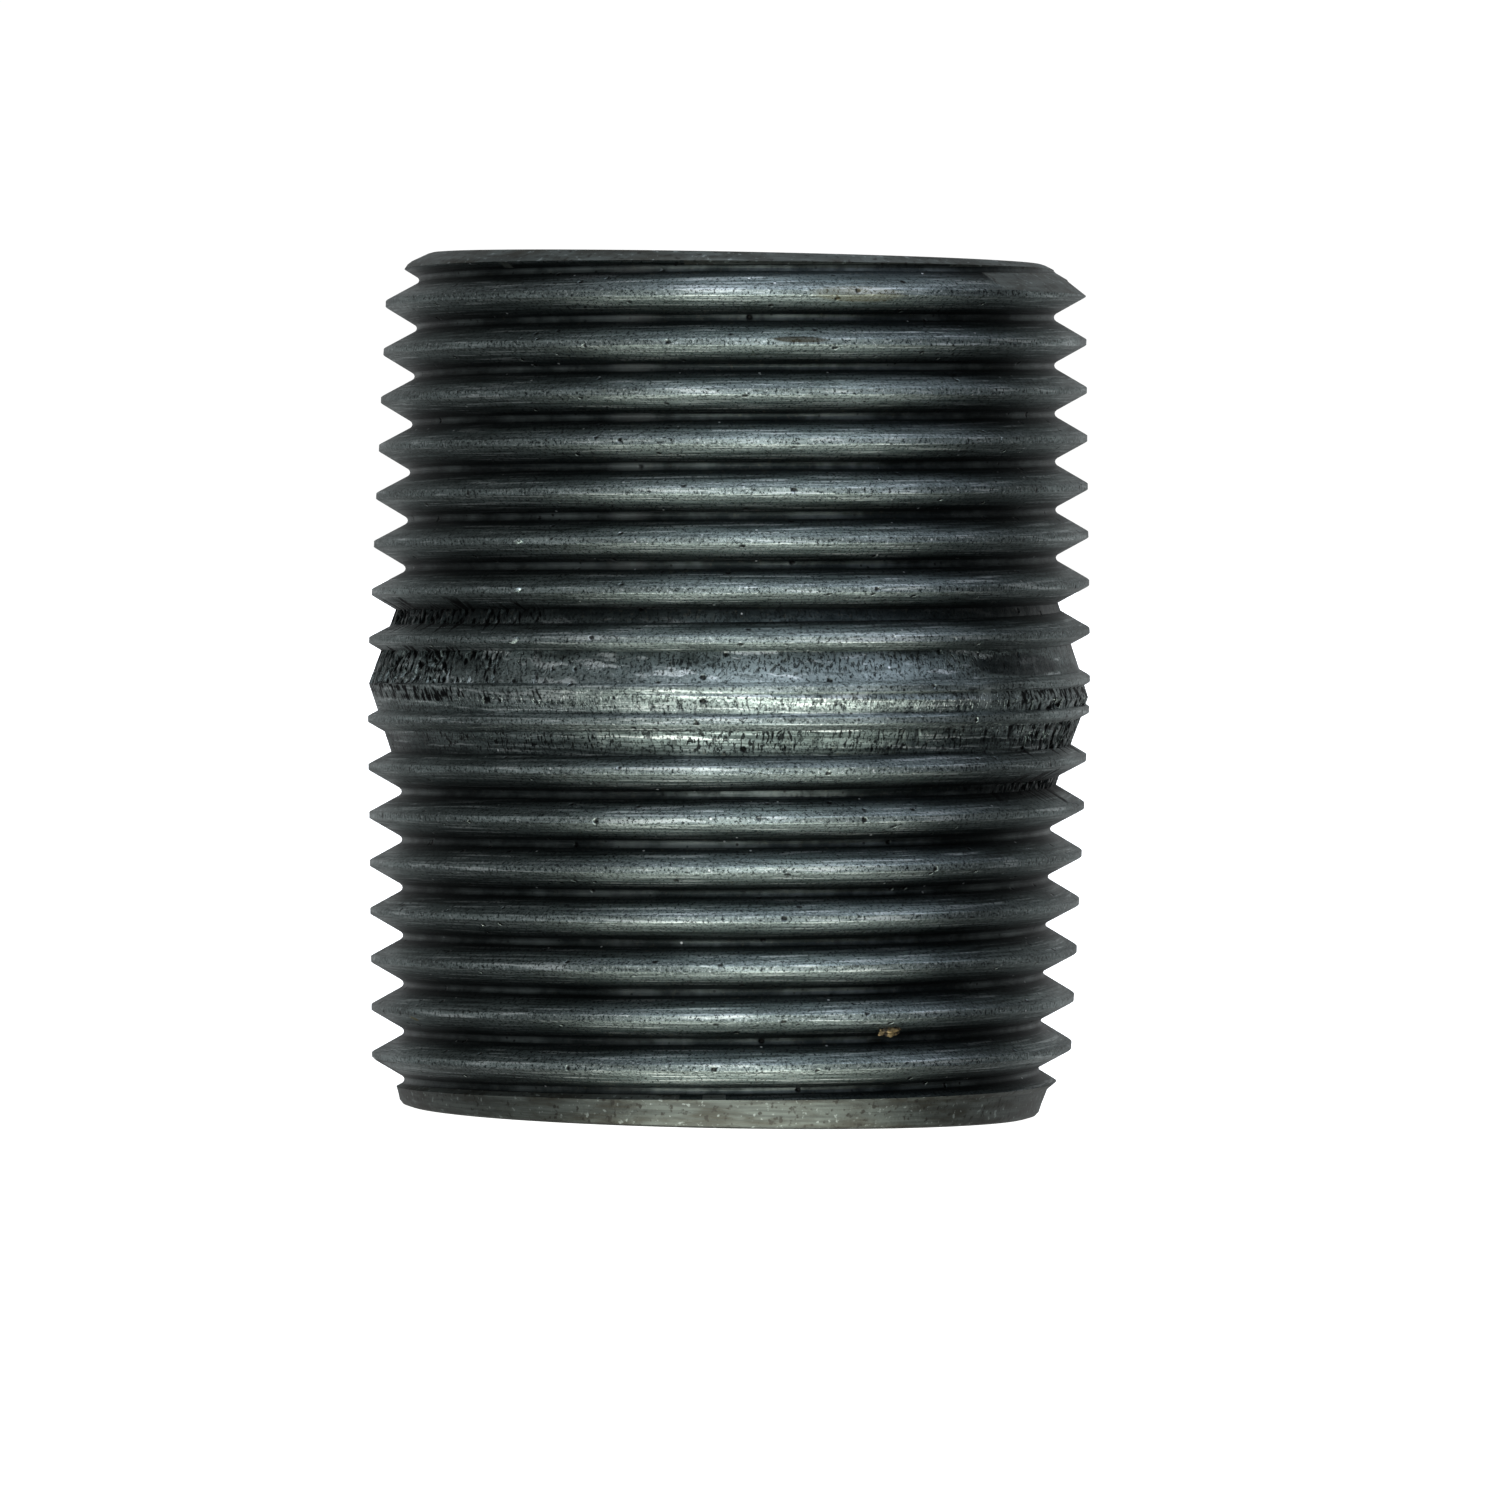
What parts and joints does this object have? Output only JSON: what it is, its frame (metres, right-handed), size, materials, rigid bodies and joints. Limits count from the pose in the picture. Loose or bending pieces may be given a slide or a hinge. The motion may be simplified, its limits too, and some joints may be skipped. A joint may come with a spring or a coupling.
{
  "type": "pipe nipple",
  "caption": "Short steel pipe with a taper thread cut in from each end until the two meet, a plain through bore and chamfered ends.",
  "frame": {"origin": "centre of the lower end face, on the pipe's axis", "axes": "+Z along the pipe's axis from the lower end to the upper end; -Y is the side the picture shows and +X is its right"},
  "size_m": [0.0333, 0.0333, 0.0392],
  "materials": {
    "black_steel": "dark oiled steel with fine cutting lines along the thread, small pits and torn run-out threads"
  },
  "bodies": {
    "root": {"nipple_body": "black_steel"}
  },
  "joints": []
}
